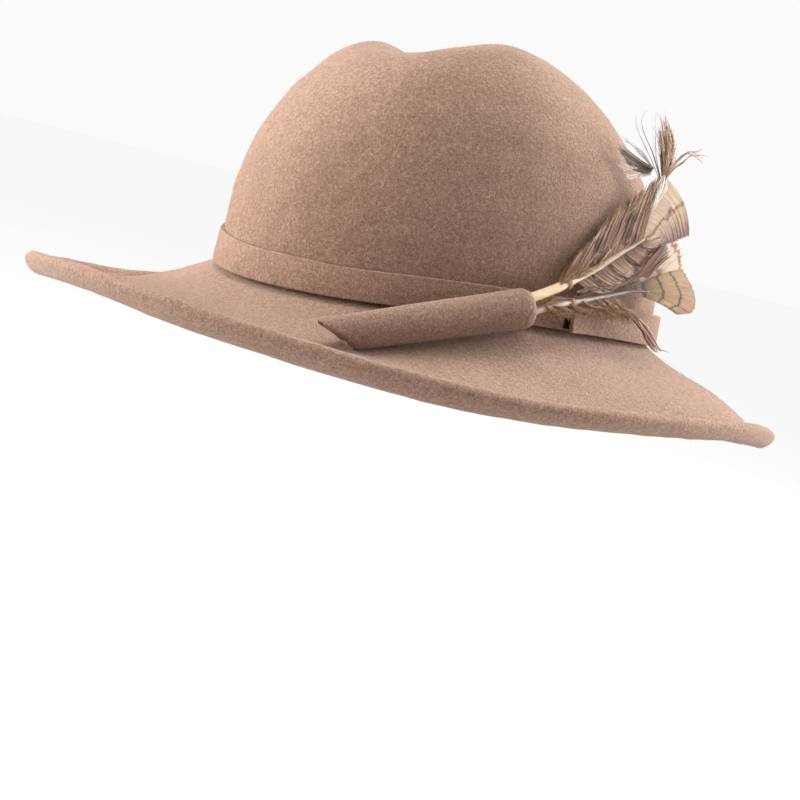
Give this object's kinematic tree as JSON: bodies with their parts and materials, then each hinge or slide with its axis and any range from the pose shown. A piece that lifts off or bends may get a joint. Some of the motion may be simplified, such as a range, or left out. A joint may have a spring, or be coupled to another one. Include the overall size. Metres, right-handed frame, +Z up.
{
  "type": "fedora hat",
  "caption": "Wool felt fedora with a centre-dented crown, a drooping brim with an upturned edge, a felt band and a feather spray that pulls out of its rolled felt holder.",
  "frame": {"origin": "middle of the head opening, at the level where the crown meets the brim", "axes": "+Z up through the crown, -Y the way the wearer faces, +X the wearer's left, where the feathers are"},
  "size_m": [0.3258, 0.3446, 0.1526],
  "materials": {
    "felt": "taupe wool felt, matt and slightly fuzzy",
    "ribbon": "ribbed grosgrain, dull",
    "thread": "matt sewing thread",
    "wire": "plain drawn wire",
    "joiner": "plain",
    "quill": "feather shaft of keratin, cream, with a soft sheen",
    "brown_vane": "pheasant feather, brown with dark bars",
    "pale_vane": "pheasant feather, beige with black bars",
    "dark_vane": "dark grey feather",
    "rust_vane": "rust brown feather",
    "down": "pale golden down"
  },
  "bodies": {
    "hat": {"crown_felt": "felt", "brim_felt": "felt", "brim_wire": "wire", "wire_joiner": "joiner", "hat_band": "felt", "sweatband": "ribbon", "headline_stitches": "thread", "band_stitches": "thread", "sweatband_stitches": "thread", "quill_holder": "felt", "holder_stitches": "thread"},
    "feather_spray": {"upper_quill": "quill", "upper_binding": "thread", "lower_quill": "quill", "lower_binding": "thread", "upper_vane": "brown_vane", "lower_vane": "pale_vane", "plume_barbs": "brown_vane", "dark_feather": "dark_vane", "rust_feather": "rust_vane", "hanging_strand": "rust_vane", "down_tuft": "down"}
  },
  "joints": [
    {"name": "feather_draw", "type": "slide", "parent": "hat", "child": "feather_spray", "axis": [0.101, 0.9411, 0.3227], "range_m": [0, 0.045]}
  ]
}
